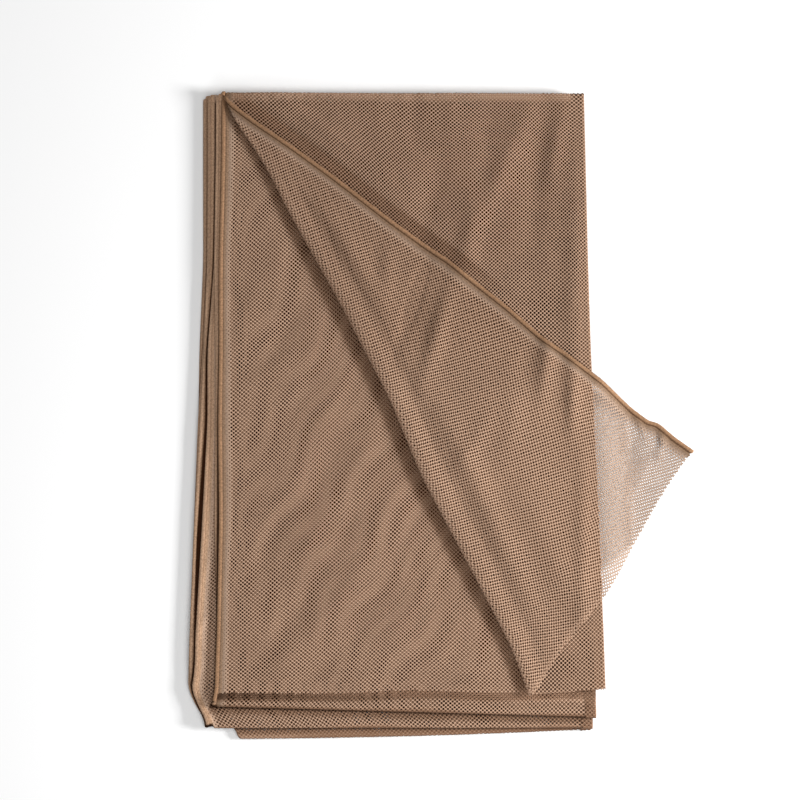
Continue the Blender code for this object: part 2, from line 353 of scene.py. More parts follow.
# Hidden insides: a coarse sheet with holes painted dark with shade, behind real net at the hem
# and turns
MARGIN = 0.031
STRIP = 0.024
FAR_STRIP = 0.007
INNER_LAP = 0.002
COARSE = 0.004
INNER_STRETCH = 0.93

# Painted shade: 1 under one net, 2 in full darkness. A soft step is its start and its width.
NET_STEP = 0.004
EDGE_STEP = (0.001, NET_STEP)
FOLD_STEP = (0.002, NET_STEP)
FIRST_STEP = (0.002, 0.005)
BARE_STEP = (0.001, 0.003)
# Painted shade under the top net: darker than one net would make it, but less so at the right.
TOP_VEIL = 1.8
VEIL_EASED = 0.5
EASED_RIGHT = (0.105, 0.025)
EASED_NEAR = (0.18, 0.08)
# Painted shade on the top layer: a little on its flat part, more on the corner the higher up it
# lies, and more in the trough before the corner's hem.
TOP_SHADE_FLAT = 0.26
TOP_SHADE_CORNER = 0.36
CORNER_SHADE_RISE = (-0.02, 0.12)
TROUGH_SHADE = 0.9
TROUGH_BESIDE = (-0.018, 0.008)
TROUGH_FROM = (0.09, 0.07)
# Painted shadow beside the corner's roll, in radii of the roll
CREVICE = 1.35
CREVICE_STEP = (-4.8, 3.6)
LEAST_RADIUS = 0.0004
# Painted shade on the undersides of the open side's turns, from this far before each of them.
APEX_SHADE = 1.4
APEX_LEAD = (0.0025, 0.0, 0.004)
APEX_STEP = 0.0035
APEX_FADE = 0.002
# Turns at the joined side catch the light, the first one over this length.
JOINED_ROOM = 0.002
JOINED_TURN_STEP = (0.004, 0.006)
FIRST_TURN_LIT = 0.003
# Painted shade on cloth that is tucked under, from this far round the edge
TUCKED_PAST = 0.0018
TUCKED_SHADE = 1.0
TUCKED_MORE = 0.6
TUCKED_FROM = (0.02, 0.15)
# Painted shade of the third to eighth layers: where another layer covers them, in the slots
# beside the left edges, and painted shadows and contact lines below the folds at the open side
INSIDE_EDGE = (0.001, 0.003)
INSIDE_END = (0.001, 0.002)
BELOW_STEP = (0.5, 0.4)
SLOT_FADE = 0.0014
OVERLAP = 0.004
FOLD_SHADOW = 1.15
FOLD_SHADOW_STEP = (0.0015, 0.0095)
CONTACT_SHADOW = (0.6, 0.3)
CONTACT_STEP = (0.0002, 0.0022)
SHADOW_SIDE = (0.0035, 0.002)
OUTSIDE_STEP = 0.003
OUTSIDE_SHARE = 0.6
# Painted shadow on the cloth that runs on under the second layer's cut end
CUT_SHADOW = (1.6, 0.3)
CUT_SHADOW_ACROSS = 0.14
CUT_SHADOW_STEP = (0.0095, 0.0055)
SLOTS = (
    # For layers 2 to 7: how dark the painted shade beside the left edge is, and how far out
    (1.9, 0.0021),
    (0.0, 0.0010),
    (2.0, 0.0036),
    (0.6, 0.0012),
    (1.5, 0.0020),
    (0.6, 0.0012),
)
SLOT_GROWTH = (
    # y, share of the widths above
    (-0.22, 0.8),
    (-0.12, 1.5),
    (-0.02, 1.1),
    (0.08, 0.65),
)


# Soft steps, and values read from tables


def smooth(value):
    """A soft step from 0 at 0 to 1 at 1."""
    value = np.clip(value, 0.0, 1.0)
    return value * value * (3.0 - 2.0 * value)


def step_up(value, start, width):
    """A soft step from 0 to 1, from a start and over a width."""
    return smooth((value - start) / width)


def step_down(value, end, width):
    """A soft step from 1 to 0, up to an end and over a width."""
    return smooth((end - value) / width)


def hump(value, middle, width):
    """A soft hump that is 1 in its middle."""
    return np.exp(-(((value - middle) / width) ** 2))


def along_table(table, position, column):
    """Reads a column of a table whose first column falls, with rounded corners between rows."""
    places = np.array([row[0] for row in table])[::-1]
    values = np.array([row[column] for row in table])[::-1]
    reads = [np.interp(position + step * TABLE_ROUNDING, places, values) for step in SPREAD]
    return sum(reads) / len(SPREAD)


def along_path(table, share, reach=FOLD_ROUNDING):
    """Reads all columns of a table at shares of its length, measured along its x and y."""
    points = np.array(table)
    steps = np.hypot(*np.diff(points[:, :2], axis=0).T)
    lengths = np.concatenate([[0.0], np.cumsum(steps)]) / steps.sum()
    tight = np.minimum(1.0, np.minimum(share, 1.0 - share) / reach)
    columns = []
    for column in points.T:
        reads = [np.interp(share + step * reach * tight, lengths, column) for step in SPREAD]
        columns.append(sum(reads) / len(SPREAD))
    return columns


def creases(table, x, y):
    """Height of a set of soft ridges and troughs."""
    height = np.zeros_like(x)
    for crease_x, crease_y, degrees, length, width, rise in table:
        turn = math.radians(degrees)
        away_x, away_y = x - crease_x, y - crease_y
        along = away_x * math.cos(turn) + away_y * math.sin(turn)
        across = away_y * math.cos(turn) - away_x * math.sin(turn)
        height += rise * np.exp(-((across / width) ** 2) - (2.0 * along / length) ** 2)
    return height


# Folded cloth


def layer_height(layer, x, y):
    """Height of a layer's cloth."""
    swell = sum(
        share * np.sin(2.0 * math.pi * (x / across + y / along) + start)
        for across, along, start, share in SWELL_WAVES
    )
    above = LAYERS - layer
    relief = creases(STACK_CREASES, x, y) * (above / (LAYERS - 1)) ** RELIEF_FADE
    return HALF_CLOTH + above * PITCH * (1.0 + SWELL * swell) + relief


def right_edge(layer, y):
    """X of the line at which a layer's right edge is tucked under."""
    _, inset_joined, inset_open = RIGHT_INSETS[layer - 1]
    down = smooth((JOINED_SIDE - y) / (JOINED_SIDE - OPEN_SIDE))
    edge = along_table(RIGHT_EDGE, y, 1) - TUCK_RADIUS
    return edge - inset_joined - (inset_open - inset_joined) * down


def turn_line(turn, across):
    """Y of the line around which a turn bends, at a share of the way across."""
    side, left, right, radius, set_back, width = TURNS[turn - 1]
    corner = 1.0 - step_up(across / width, *CORNER_STEP)
    across = across**2 if turn == BOWED_TURN else across
    outermost = left + (right - left) * across - side * set_back * corner
    return outermost - side * ((radius or PITCH / 2.0) + HALF_CLOTH)


def ends_in_loop(layer):
    """Whether a layer rises into a turn that is rounder than its pitch."""
    return layer < LAYERS and TURNS[layer - 1][3] > 0.0


def end_line(layer, across):
    """Y at which a layer ends: at its next turn, or at the cut end of the cloth."""
    return CUT_END + 0.0 * across if layer == LAYERS else turn_line(layer, across)


def layer_points(layer, across, down):
    """Points of a layer, at shares of the way across and along it."""
    start, end = turn_line(layer - 1, across), end_line(layer, across)
    y = start + (end - start) * down
    edge_start = turn_line(layer - 1, np.zeros(1))[0]
    edge_end = end_line(layer, np.zeros(1))[0]
    left = along_table(LEFT_EDGES, edge_start + (edge_end - edge_start) * down, layer - 1)
    x = left + (right_edge(layer, y) - left) * across
    z = layer_height(layer, x, y)
    if ends_in_loop(layer):
        to_loop = np.abs(end - y)
        extra = 2.0 * TURNS[layer - 1][3] - (z - layer_height(layer + 1, x, y))
        z = z + extra * smooth(1.0 - to_loop / LOOP_RISE)
        z = z - LOOP_DIP * hump(to_loop, 1.5 * LOOP_RISE, 0.5 * LOOP_RISE)
    return x, y, z


def turn_points(turn, across, angle):
    """Points of the turn from one layer to the next, from angle 0 above to pi below."""
    side, radius = TURNS[turn - 1][0], TURNS[turn - 1][3]
    y = turn_line(turn, across)
    edge_y = turn_line(turn, np.zeros(1))[0]
    part = angle / math.pi
    upper_left = along_table(LEFT_EDGES, edge_y, max(turn, 2) - 1)
    lower_left = along_table(LEFT_EDGES, edge_y, turn)
    left = upper_left + (lower_left - upper_left) * part
    right = right_edge(turn, y) + (right_edge(turn + 1, y) - right_edge(turn, y)) * part
    x = left + (right - left) * across
    lower = layer_height(turn + 1, x, y)
    radius = radius or (layer_height(turn, x, y) - lower) / 2.0
    return x, y + side * radius * np.sin(angle), lower + radius * (1.0 + np.cos(angle))


def stretches():
    """The cloth's stretches past the first turn's start: kind, layer or turn, and length."""
    half = np.full(1, 0.5)
    found = []
    for layer in range(2, LAYERS + 1):
        radius = TURNS[layer - 2][3] or PITCH / 2.0
        found.append(("turn", layer - 1, math.pi * radius))
        length = abs(float(end_line(layer, half)[0] - turn_line(layer - 1, half)[0]))
        found.append(("layer", layer, length))
    return found


STRETCHES = stretches()
STARTS = np.concatenate([[0.0], np.cumsum([stretch[2] for stretch in STRETCHES])])
CORNER_LENGTH = JOINED_SIDE - TOP_CUT_Y
CLOTH_END = float(STARTS[-1])


def start_of(kind, number):
    """Where a turn or a layer starts along the cloth."""
    for stretch, start in zip(STRETCHES, STARTS):
        if stretch[:2] == (kind, number):
            return float(start)
    raise ValueError(f"no {kind} {number}")


def stack_points(u, v):
    """Points of the cloth past the start of its first turn."""
    across = u / LAYER_WIDTH
    x, y, z = np.zeros_like(u), np.zeros_like(u), np.zeros_like(u)
    index = np.clip(np.searchsorted(STARTS, v, side="right") - 1, 0, len(STRETCHES) - 1)
    for place, (kind, number, length) in enumerate(STRETCHES):
        here = index == place
        if not here.any():
            continue
        share = (v[here] - STARTS[place]) / length
        make = layer_points if kind == "layer" else turn_points
        scaled = share if kind == "layer" else share * math.pi
        x[here], y[here], z[here] = make(number, across[here], scaled)
    return x, y, z


def flap_height(x, y, from_roll, down, radius, to_hem):
    """Height of the turned-back corner, on the stack and down its right side."""
    edge = right_edge(1, y)
    top = layer_height(1, np.minimum(x, edge), y)
    settled = smooth(from_roll / SETTLE)
    lift = 2.0 * radius + (FLAP_LIFT - 2.0 * radius) * settled
    along_hem = down * math.dist(FLAP_HEM[0], FLAP_HEM[-1])
    wave = 0.5 - 0.5 * np.cos(2.0 * math.pi * along_hem / HEM_WAVE)
    lift = lift + HEM_WAVE_HEIGHT * wave * settled * to_hem
    relief = creases(CORNER_CREASES, x, y) * settled
    z = top + np.maximum(lift + relief, np.minimum(lift, LEAST_LIFT))
    past = (x - edge - EDGE_CLEARANCE) / DROOP
    rise = TIP_LIFT * smooth(TIP_FADE - past) * (1.0 - HEM_WEIGHT * to_hem)
    floor = FLOOR_GAP + rise + np.maximum(relief, 0.0)
    return z + (floor - z) * smooth(past)


def corner_points(u, down):
    """Points of the top layer, whose corner is turned back, at shares of the way down it."""
    fold_x, fold_y, radius = along_path(FOLD_LINE, down)
    ahead = along_path(FOLD_LINE, np.minimum(down + FOLD_REACH, 1.0))
    behind = along_path(FOLD_LINE, np.maximum(down - FOLD_REACH, 0.0))
    line_x, line_y = ahead[0] - behind[0], ahead[1] - behind[1]
    size = np.hypot(line_x, line_y)
    in_x, in_y = -line_y / size, line_x / size
    wide = ROLL_FLATNESS * radius
    fold_x, fold_y = fold_x + in_x * wide, fold_y + in_y * wide
    hem_x, hem_y = along_path(FLAP_HEM, down, HEM_ROUNDING)
    flap = np.hypot(hem_x - fold_x, hem_y - fold_y)
    roll = ROLL_LENGTHS[-1] * radius
    right_x = right_edge(1, fold_y)
    flat = right_x - fold_x
    scale = (flap + roll + flat) / LAYER_WIDTH
    reach = u * scale
    # Flat part, from the roll to the right edge
    share = np.clip((reach - flap - roll) / flat, 0.0, 1.0)
    y = fold_y + CUT_SLANT * down * share
    x = fold_x + (right_edge(1, y) - fold_x) * share
    z = layer_height(1, x, y)
    base = layer_height(1, fold_x, fold_y)
    # Roll of the fold
    on_roll = (reach < flap + roll) & (reach >= flap)
    angle = np.interp((flap + roll - reach) / radius, ROLL_LENGTHS, ROLL_ANGLES)
    x = np.where(on_roll, fold_x - in_x * wide * np.sin(angle), x)
    y = np.where(on_roll, fold_y - in_y * wide * np.sin(angle), y)
    z = np.where(on_roll, base + radius * (1.0 - np.cos(angle)), z)
    # Turned-back corner, from the roll out to the hem
    on_flap = reach < flap
    safe = np.maximum(flap, TINY)
    out = np.clip(1.0 - reach / safe, 0.0, 1.0)
    bulge = CUT_BULGE * down**4 * hump(out, *BULGE_SHAPE)
    flap_x = fold_x + (hem_x - fold_x) * out + bulge * (hem_y - fold_y) / safe
    flap_y = fold_y + (hem_y - fold_y) * out - bulge * (hem_x - fold_x) / safe
    height = flap_height(flap_x, flap_y, out * flap, down, radius, out)
    return np.where(on_flap, flap_x, x), np.where(on_flap, flap_y, y), np.where(on_flap, height, z)


def flat_to_folded(u, v):
    """Points of the folded cloth for places on the flat cloth, up to its right edge."""
    u, v = np.clip(u, 0.0, LAYER_WIDTH), np.asarray(v, float)
    points = np.zeros((len(u), 3))
    top = v < 0.0
    if top.any():
        down = np.clip(-v[top] / CORNER_LENGTH, 0.0, 1.0)
        points[top] = np.stack(corner_points(u[top], down), axis=1)
    if not top.all():
        points[~top] = np.stack(stack_points(u[~top], v[~top]), axis=1)
    return points


def unit(vectors):
    """The vectors, made one unit long."""
    return vectors / np.maximum(np.linalg.norm(vectors, axis=1, keepdims=True), TINY**2)


def directions(u, v):
    """Unit vectors across the cloth, along it and out of its upper face."""
    step = 0.0006
    inside = np.clip(u, step, LAYER_WIDTH - step)
    across = unit(flat_to_folded(inside + step, v) - flat_to_folded(inside - step, v))
    along = unit(flat_to_folded(inside, v + step) - flat_to_folded(inside, v - step))
    return across, along, unit(np.cross(across, along))


def cloth_points(u, v):
    """Points of the folded cloth, with its right edge tucked under."""
    points = flat_to_folded(u, v)
    past = u > LAYER_WIDTH
    if past.any():
        across, _, out = directions(np.full(past.sum(), LAYER_WIDTH), v[past])
        beyond = u[past] - LAYER_WIDTH
        angle = np.minimum(beyond / TUCK_RADIUS, math.pi)
        back = np.maximum(beyond - math.pi * TUCK_RADIUS, 0.0)
        sideways = TUCK_RADIUS * np.sin(angle) - back
        under = TUCK_RADIUS * (1.0 - np.cos(angle))
        points[past] += across * sideways[:, None] - out * under[:, None]
    return points


# Net, as a flat pattern of holes


def lean(u):
    """How far the rows of holes have run down the cloth, at a distance from the hem."""
    share = np.clip((u - EASED_FROM) / (EASED_TO - EASED_FROM), 0.0, 1.0)
    eased = share**2 / 2.0 * (EASED_TO - EASED_FROM) + np.maximum(u - EASED_TO, 0.0)
    return SKEW * u - (SKEW - SKEW_EASED) * eased


def hole_centre(column, row):
    """Place of a hole on the flat cloth."""
    u = (column + 0.5 * (row % 2)) * HOLES_ACROSS
    return u, row * HOLES_ALONG / 2.0 - lean(u)


def hole_size(column, row):
    """Size of each hole as a share of the full radius: none in the band beside the hem."""
    u, v = hole_centre(column, row)
    uneven = np.modf(np.sin(column * SCATTER[0] + row * SCATTER[1]) * SCATTER[2])[0]
    selvedge = step_up(u - LAYER_WIDTH, *SELVEDGE_STEP)
    grown = step_up(u, BAND, BAND_FADE)
    for (kind, number, length), start in zip(STRETCHES, STARTS):
        if kind == "turn":
            grown = grown * (1.0 - hump(v - start, length / 2, APEX_REACH[number - 1]))
        elif number % 2 == 0:
            selvedge = selvedge * np.where((v > start) & (v < start + length), 0.0, 1.0)
    grown = grown * (1.0 - selvedge)
    grown = grown * (1.0 - hump(u, LAYER_WIDTH + math.pi * TUCK_RADIUS / 2.0, EDGE_REACH))
    corner = step_up(-v, *SHRINK_ALONG) * step_down(u, *SHRINK_ACROSS)
    grown = grown * (1.0 - CORNER_SHRINK * corner)
    return grown * (1.0 + UNEVENNESS * uneven)


def drifted(u, v):
    """Places on the flat cloth after the slow drift of the rows of holes."""
    move_u, move_v = np.zeros_like(u), np.zeros_like(v)
    for across, along, start, size, degrees in DRIFTS:
        wave = size * np.sin(2.0 * math.pi * (u / across + v / along) + start)
        move_u += wave * math.cos(math.radians(degrees))
        move_v += wave * math.sin(math.radians(degrees))
    inside = smooth(u / DRIFT_FADE) * step_down(u, LAYER_WIDTH, DRIFT_FADE)
    return u + move_u * inside, v + move_v * inside


def net_pattern(regions, lowest_v, highest_v, slant=0.0):
    """Corners on the flat cloth and faces of the net over some regions of it.

    Each hole lends its sides to the strips of yarn between it and the next holes, so two
    regions that meet leave neither a gap nor an overlap.
    """
    columns, rows = [], []
    for first_u, last_u, first_v, last_v in regions:
        low_column = int(first_u / HOLES_ACROSS) - 2
        high_column = int(last_u / HOLES_ACROSS) + 2
        low_row = int(math.floor(2.0 * (first_v + lean(first_u)) / HOLES_ALONG)) - 2
        high_row = int(math.ceil(2.0 * (last_v + lean(last_u)) / HOLES_ALONG)) + 2
        column, row = np.meshgrid(
            np.arange(low_column, high_column), np.arange(low_row, high_row), indexing="ij"
        )
        column, row = column.ravel(), row.ravel()
        u, v = hole_centre(column, row)
        kept = (u >= first_u) & (u < last_u) & (v >= first_v) & (v < last_v)
        columns.append(column[kept])
        rows.append(row[kept])
    column, row = np.concatenate(columns), np.concatenate(rows)
    odd = row % 2
    holes = (
        (column, row),
        (column + odd, row + 1),
        (column - 1 + odd, row + 1),
        (column, row + 2),
    )
    first_column, first_row = column.min() - 2, row.min() - 2
    wide = column.max() + 3 - first_column

    def corner(hole, number):
        hole_column, hole_row = holes[hole]
        place = (hole_row - first_row) * wide + (hole_column - first_column)
        return place * SIDES + number

    # The corners of each strip of yarn: the hole, and which of its corners
    strips = (
        ((0, 0), (1, 4), (1, 3), (0, 1)),
        ((0, 3), (0, 2), (2, 0), (2, 5)),
        ((0, 2), (0, 1), (3, 5), (3, 4)),
        ((0, 1), (1, 3), (3, 5)),
        ((0, 2), (3, 4), (2, 0)),
    )
    faces = [np.stack([corner(*place) for place in strip], axis=1) for strip in strips]
    closed = hole_size(column, row) < SMALLEST_HOLE
    filled = np.stack([corner(0, number)[closed] for number in range(SIDES)], axis=1)
    faces.append(filled)
    used = np.unique(np.concatenate([face.ravel() for face in faces]))
    place, number = used // SIDES, used % SIDES
    used_column, used_row = place % wide + first_column, place // wide + first_row
    u, v = hole_centre(used_column, used_row)
    size = hole_size(used_column, used_row)
    radius = HOLE_RADIUS * np.where(size < SMALLEST_HOLE, PATCH, size)
    angle = np.array(HOLE_CORNERS)[number]
    u, v = u + radius * np.cos(angle), v + radius * np.sin(angle)
    highest_v = highest_v - slant * u
    outside = (u < FIRST_YARN) | (u > LAYER_WIDTH + TUCK) | (v < lowest_v) | (v > highest_v)
    kept_faces = []
    for face in faces:
        index = np.searchsorted(used, face)
        kept_faces.append(index[~outside[index].any(axis=1)])
    left = np.unique(np.concatenate([face.ravel() for face in kept_faces]))
    kept_faces = [np.searchsorted(left, face) for face in kept_faces]
    return u[left], v[left], kept_faces


def grid_pattern(regions):
    """Corners on the flat cloth and faces of a coarse sheet over some regions of it."""
    all_u, all_v, faces, first = [], [], [], 0
    for first_u, last_u, first_v, last_v in regions:
        across = max(2, round((last_u - first_u) / COARSE) + 1)
        along = max(2, round((last_v - first_v) / COARSE) + 1)
        u, v = np.meshgrid(
            np.linspace(first_u, last_u, across),
            np.linspace(first_v, last_v, along),
            indexing="ij",
        )
        place = np.arange(across * along).reshape(across, along) + first
        quads = (place[:-1, :-1], place[1:, :-1], place[1:, 1:], place[:-1, 1:])
        faces.append(np.stack([corner.ravel() for corner in quads], axis=1))
        all_u.append(u.ravel())
        all_v.append(v.ravel())
        first += across * along
    return np.concatenate(all_u), np.concatenate(all_v), faces


# Painted shade of the cloth under other layers


def beside(table, x, y):
    """Distance to the right of a line, looking down it."""
    line = np.array([row[:2] for row in table])
    nearest = np.full(len(x), 1e9)
    side = np.zeros(len(x))
    for start, end in zip(line, line[1:]):
        step = end - start
        length = math.hypot(*step)
        share = ((x - start[0]) * step[0] + (y - start[1]) * step[1]) / length**2
        share = np.clip(share, 0.0, 1.0)
        away_x, away_y = x - start[0] - share * step[0], y - start[1] - share * step[1]
        away = np.hypot(away_x, away_y)
        across = (step[1] * away_x - step[0] * away_y) / length
        closer = away < nearest
        nearest = np.where(closer, away, nearest)
        side = np.where(closer, np.sign(across) * away, side)
    return side


def under_layers(u, v, x, y, under_first):
    """Painted shade of the third to eighth layers: from the nets over them, beside and below them.
    """
    layer = np.interp(v, STARTS[:-1], [number for _, number, _ in STRETCHES])
    across = np.clip(u / LAYER_WIDTH, 0.0, 1.0)
    from_right = step_up(LAYER_WIDTH - u, *EDGE_STEP)
    count, shade = under_first * step_up(y, SECOND_CUT_Y, NET_STEP), np.zeros_like(x)
    growth = np.interp(y, *np.transpose(SLOT_GROWTH))
    for above in range(2, LAYERS):
        _, end_left, end_right, _, _, _ = TURNS[above // 2 * 2 - 1]
        past_end = end_left + (end_right - end_left) * across - y
        past_edge = along_table(LEFT_EDGES, y, above - 1) - x
        below = step_up(layer - above, *BELOW_STEP)
        inside = step_up(-past_edge, *INSIDE_EDGE) * step_down(past_end, *INSIDE_END)
        count = count + inside * below * from_right
        strength, width = SLOTS[above - 2]
        beside_edge = step_down(past_edge, width * growth, SLOT_FADE) * (past_edge > -OVERLAP)
        shade = np.maximum(shade, strength * beside_edge * below * (past_end < 0.0))
        if above % 2:
            near = 1.0 - step_up(past_end, *FOLD_SHADOW_STEP)
            line = 1.0 - step_up(past_end, *CONTACT_STEP)
            contact = CONTACT_SHADOW[0] - CONTACT_SHADOW[1] * across
            shadow = (FOLD_SHADOW * near + contact * line) * (past_end > -OVERLAP)
            shade = np.maximum(shade, shadow * below * step_down(past_edge, *SHADOW_SIDE))
    outside = smooth((along_table(LEFT_EDGES, y, 1) - x) / OUTSIDE_STEP)
    return np.minimum(np.maximum(count * (1.0 - OUTSIDE_SHARE * outside), shade), 2.0)


def past_roll(u, v):
    """How far places of the top layer lie past the roll of its fold, on the flat part."""
    down = np.clip(-v / CORNER_LENGTH, 0.0, 1.0)
    fold_x, fold_y, radius = along_path(FOLD_LINE, down)
    hem_x, hem_y = along_path(FLAP_HEM, down, HEM_ROUNDING)
    flap = np.hypot(hem_x - fold_x, hem_y - fold_y)
    roll = ROLL_LENGTHS[-1] * radius
    scale = (flap + roll + right_edge(1, fold_y) - fold_x) / LAYER_WIDTH
    return u * scale - flap - roll


def nets_above(u, v, points):
    """Painted shade of each point, counted in nets: 0 in the open, 1 as under one net, 2 as under
    more, with painted shadows beside the corner's roll, in the trough and below the folds.

    Below 0, down to -1, painted light on the net that lies in the open over the bare floor.
    """
    x, y = points[:, 0], points[:, 1]
    past_fold = -beside(FOLD_LINE, x, y)
    past_hem = beside(FLAP_HEM, x, y)
    past_cut = -beside((FOLD_LINE[-1], FLAP_HEM[-1]), x, y)
    under_flap = step_up(past_fold, *FOLD_STEP) * step_up(past_hem, *EDGE_STEP)
    under_flap = under_flap * step_up(past_cut, *EDGE_STEP)
    under_first = step_up(past_fold, *FIRST_STEP) * step_up(LAYER_WIDTH - u, *EDGE_STEP)
    # Top layer
    flat = smooth(past_roll(u, v) / NET_STEP)
    trough = step_up(past_hem, *TROUGH_BESIDE) * step_up(y, *TROUGH_FROM)
    first = np.maximum(under_flap, TROUGH_SHADE * trough) * flat
    top_shade = TOP_SHADE_FLAT * flat + TOP_SHADE_CORNER * step_up(y, *CORNER_SHADE_RISE) * (1.0 - flat)
    first = np.maximum(first, top_shade)
    # Second layer
    veil = TOP_VEIL - VEIL_EASED * step_up(x, *EASED_RIGHT) * step_down(y, *EASED_NEAR)
    second = np.minimum(veil * under_first + under_flap, 2.0)
    radius = np.interp(-y, [-row[1] for row in FOLD_LINE], [row[2] for row in FOLD_LINE])
    crevice = CREVICE * step_up(past_fold / (radius + LEAST_RADIUS), *CREVICE_STEP)
    second = np.maximum(second, crevice) * step_up(y, SECOND_CUT_Y, NET_STEP)
    second = second * step_down(y, JOINED_SIDE - JOINED_ROOM, NET_STEP)
    # Lower layers, and all turns
    lower = np.where(v < start_of("turn", 2), second, under_layers(u, v, x, y, under_first))
    for (kind, number, length), start in zip(STRETCHES, STARTS):
        if kind != "turn":
            continue
        if number % 2:
            lower = lower * step_up(np.abs(v - start - length / 2), *JOINED_TURN_STEP)
        else:
            lead = APEX_LEAD[number // 2 - 1]
            apex = smooth((v - start + lead) / (APEX_STEP + lead))
            apex = apex * step_down(v, start + length, APEX_FADE)
            lower = np.maximum(lower, APEX_SHADE * apex)
    bare = step_up(x - right_edge(1, y), *BARE_STEP) * step_up(u, BAND, BAND_FADE)
    found = np.where(v < 0.0, first - bare, np.where(v < FIRST_TURN_LIT, 0.0, lower))
    tucked = TUCKED_SHADE + TUCKED_MORE * step_up(y, *TUCKED_FROM)
    return np.where(u > LAYER_WIDTH + TUCKED_PAST, np.maximum(found, tucked), found)


# Pieces


def add_mesh(name, points, faces, places, charts=None, turned=False, above=None):
    """A piece from its points, its faces, their places on the flat cloth and its painted shade."""
    points = points.copy()
    points[:, 2] = np.maximum(points[:, 2], 0.0)
    charts = [places[face] for face in faces] if charts is None else charts
    if turned:
        faces = [face[:, ::-1] for face in faces]
        charts = [chart[:, ::-1] for chart in charts]
    sizes = np.concatenate([np.full(len(face), face.shape[1]) for face in faces])
    corners = np.concatenate([face.ravel() for face in faces]).astype(np.int32)
    starts = np.concatenate([[0], np.cumsum(sizes)[:-1]]).astype(np.int32)
    mesh = bpy.data.meshes.new(name)
    mesh.vertices.add(len(points))
    mesh.vertices.foreach_set("co", points.astype(np.float32).ravel())
    mesh.loops.add(len(corners))
    mesh.loops.foreach_set("vertex_index", corners)
    mesh.polygons.add(len(sizes))
    mesh.polygons.foreach_set("loop_start", starts)
    mesh.update(calc_edges=True)
    mesh.shade_smooth()
    on_cloth = mesh.uv_layers.new(name="cloth")
    on_cloth.data.foreach_set("uv", places[corners].astype(np.float32).ravel())
    chart = np.concatenate([part.reshape(-1, 2) for part in charts])
    low, high = chart.min(axis=0), chart.max(axis=0)
    chart = CHART_MARGIN + CHART_SIZE * (chart - low) / (high - low).max()
    for_export = mesh.uv_layers.new(name="OFBake")
    for_export.data.foreach_set("uv", chart.astype(np.float32).ravel())
    depth = mesh.attributes.new("nets_above", "FLOAT", "POINT")
    above = np.zeros(len(points)) if above is None else above
    depth.data.foreach_set("value", above.astype(np.float32))
    piece = bpy.data.objects.new(name, mesh)
    bpy.context.scene.collection.objects.link(piece)
    return piece


def dress(piece, yarn):
    """Gives a piece its yarn, and its place in the frame."""
    piece.data.materials.append(yarn_material(yarn))
    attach(piece, "root")
    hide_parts(NODE)
    return piece


def add_net(name, regions, highest_v=CLOTH_END, slant=0.0, turned=False, drop=None, cover=None):
    """A piece of net with real holes. A cover is the place where cloth laid over it ends."""
    u, v, faces = net_pattern(regions, -CORNER_LENGTH, highest_v, slant)
    points = cloth_points(*drifted(u, v))
    if drop is not None:
        points[:, 2] -= drop(v)
    places = np.stack([u, v + lean(u)], axis=1)
    above = nets_above(u, v, points)
    # Painted shadow below the second layer's cut end
    if cover is not None:
        past_cut = v + SECOND_SLANT * u - cover
        strength = CUT_SHADOW[0] - CUT_SHADOW[1] * smooth(u / CUT_SHADOW_ACROSS)
        above = np.maximum(above, strength * step_down(past_cut, *CUT_SHADOW_STEP))
    return add_mesh(name, points, faces, places, turned=turned, above=above)


def hem_rows(first_v, last_v):
    """Places along the hem, close together where the cloth turns."""
    rows = [first_v, last_v]
    rows += list(np.arange(first_v, last_v, HEM_STEP))
    for (kind, _, length), start in zip(STRETCHES, STARTS):
        if kind == "turn":
            rows += list(start + length * HEM_TURN_ROWS)
    rows = np.unique(np.round(rows, 6))
    rows = rows[(rows >= first_v) & (rows <= last_v)]
    apart = np.concatenate([[True], np.diff(rows) > HEM_LEAST_STEP])
    return rows[apart]


def add_hem(name, first_v, last_v):
    """The rolled hem along a stretch of the cloth, closed at both ends."""
    rows = hem_rows(first_v, last_v)
    section = np.array(HEM_SECTION)
    middle = np.full(len(rows), HEM_WIDTH / 2.0)
    across, _, out = directions(middle, rows)
    centre = flat_to_folded(middle, rows)
    shift = (section[:, 0] - 0.5) * HEM_WIDTH
    rise = section[:, 1] * HEM / 2.0
    points = centre[:, None] + across[:, None] * shift[None, :, None]
    points = points + out[:, None] * rise[None, :, None]
    count = len(section)
    along = np.broadcast_to(rows[:, None], points.shape[:2])
    sideways = np.broadcast_to(section[:, 0] * HEM_WIDTH, points.shape[:2])
    index = np.arange(len(rows) * count).reshape(len(rows), count)
    following = np.roll(index, -1, axis=1)
    quads = (index[:-1], index[1:], following[1:], following[:-1])
    sides = np.stack([corner.ravel() for corner in quads], axis=1)
    ends = np.stack([index[0], index[-1][::-1]])
    # Its sides are charted in strips next to each other.
    around = np.arange(count + 1) * CHART_STEP
    bottom = along[:-1].ravel()
    strip = np.floor(bottom / CHART_LENGTH)
    left = np.tile(around[:-1], len(rows) - 1) + strip * CHART_WIDTH
    right = np.tile(around[1:], len(rows) - 1) + strip * CHART_WIDTH
    low, high = bottom - strip * CHART_LENGTH, along[1:].ravel() - strip * CHART_LENGTH
    side_chart = np.stack(
        [
            np.stack([left, low], axis=1),
            np.stack([left, high], axis=1),
            np.stack([right, high], axis=1),
            np.stack([right, low], axis=1),
        ],
        axis=1,
    )
    end_chart = np.stack([section * END_CHART - END_CHART_PLACE] * 2)
    places = np.stack([sideways, along], axis=2).reshape(-1, 2)
    points = points.reshape(-1, 3)
    above = nets_above(places[:, 0], places[:, 1], points)
    charts = [side_chart, end_chart]
    return add_mesh(name, points, [sides, ends], places, charts=charts, above=above)


# Materials


